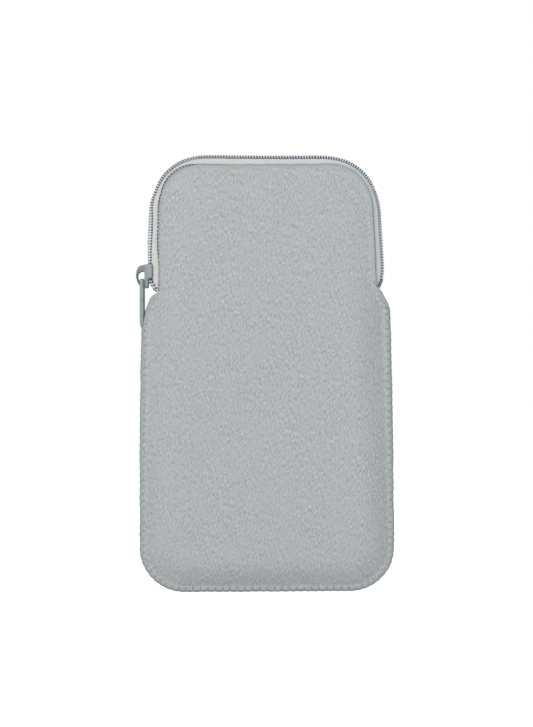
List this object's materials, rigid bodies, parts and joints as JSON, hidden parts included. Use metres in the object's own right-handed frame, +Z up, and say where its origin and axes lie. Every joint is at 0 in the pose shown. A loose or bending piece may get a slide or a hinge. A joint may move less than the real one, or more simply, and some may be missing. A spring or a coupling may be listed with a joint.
{
  "type": "insulated lunch pouch",
  "caption": "Slim upright cushioned pouch for a thin lunch box, with an overlocked edge and a coil zip round its top that frees the front flap.",
  "frame": {"origin": "centre of the bounds in X and Y, at the height of the lowest point of the overlocked bottom edge", "axes": "+X to the right as seen from the front, -Y out of the front face, +Z up from the bottom edge to the zip's top"},
  "size_m": [0.145, 0.02, 0.2447],
  "materials": {
    "knit": "matt pale grey knit with a fine slanted fleck",
    "foam": "closed-cell cushion foam",
    "lining": "smooth grey lining knit",
    "thread": "grey sewing thread",
    "tape": "cream herringbone tape",
    "coil": "blue-grey nylon coil",
    "tack": "off-white thread",
    "slider": "grey-green paint, satin"
  },
  "bodies": {
    "pouch": {"back_face_fabric": "knit", "back_foam": "foam", "back_lining": "lining", "front_face_fabric": "knit", "front_foam": "foam", "front_lining": "lining", "edge_overlock_thread": "thread", "back_zip_tape": "tape", "back_zip_coil": "coil", "back_zip_seam_thread": "thread", "front_zip_left_end_tape": "tape", "front_zip_left_end_coil": "coil", "front_zip_left_end_seam_thread": "thread", "front_zip_right_end_tape": "tape", "front_zip_right_end_coil": "coil", "front_zip_right_end_seam_thread": "thread", "left_bar_tack": "tack", "right_bar_tack": "tack"},
    "front_flap": {"flap_face_fabric": "knit", "flap_foam": "foam", "flap_lining": "lining", "flap_zip_tape": "tape", "flap_zip_coil": "coil", "flap_zip_seam_thread": "thread"},
    "slider": {"slider_body": "slider", "slider_crown": "slider"},
    "pull": {"pull_tab": "slider"}
  },
  "joints": [
    {"name": "flap_fold", "type": "hinge", "parent": "pouch", "child": "front_flap", "pos_m": [0.00102, -0.01, 0.18695], "axis": [1, 0, 0], "range_deg": [0, 120]},
    {"name": "slider_travel", "type": "slide", "parent": "pouch", "child": "slider", "axis": [0.0523, 0, 0.9986], "range_m": [0, 0.031], "deforming": ["front_zip_left_end_coil", "flap_zip_coil", "back_zip_coil"]},
    {"name": "pull_swing", "type": "hinge", "parent": "slider", "child": "pull", "pos_m": [-0.06887, 0, 0.17444], "axis": [0, 1, 0], "range_deg": [0, 100]}
  ]
}
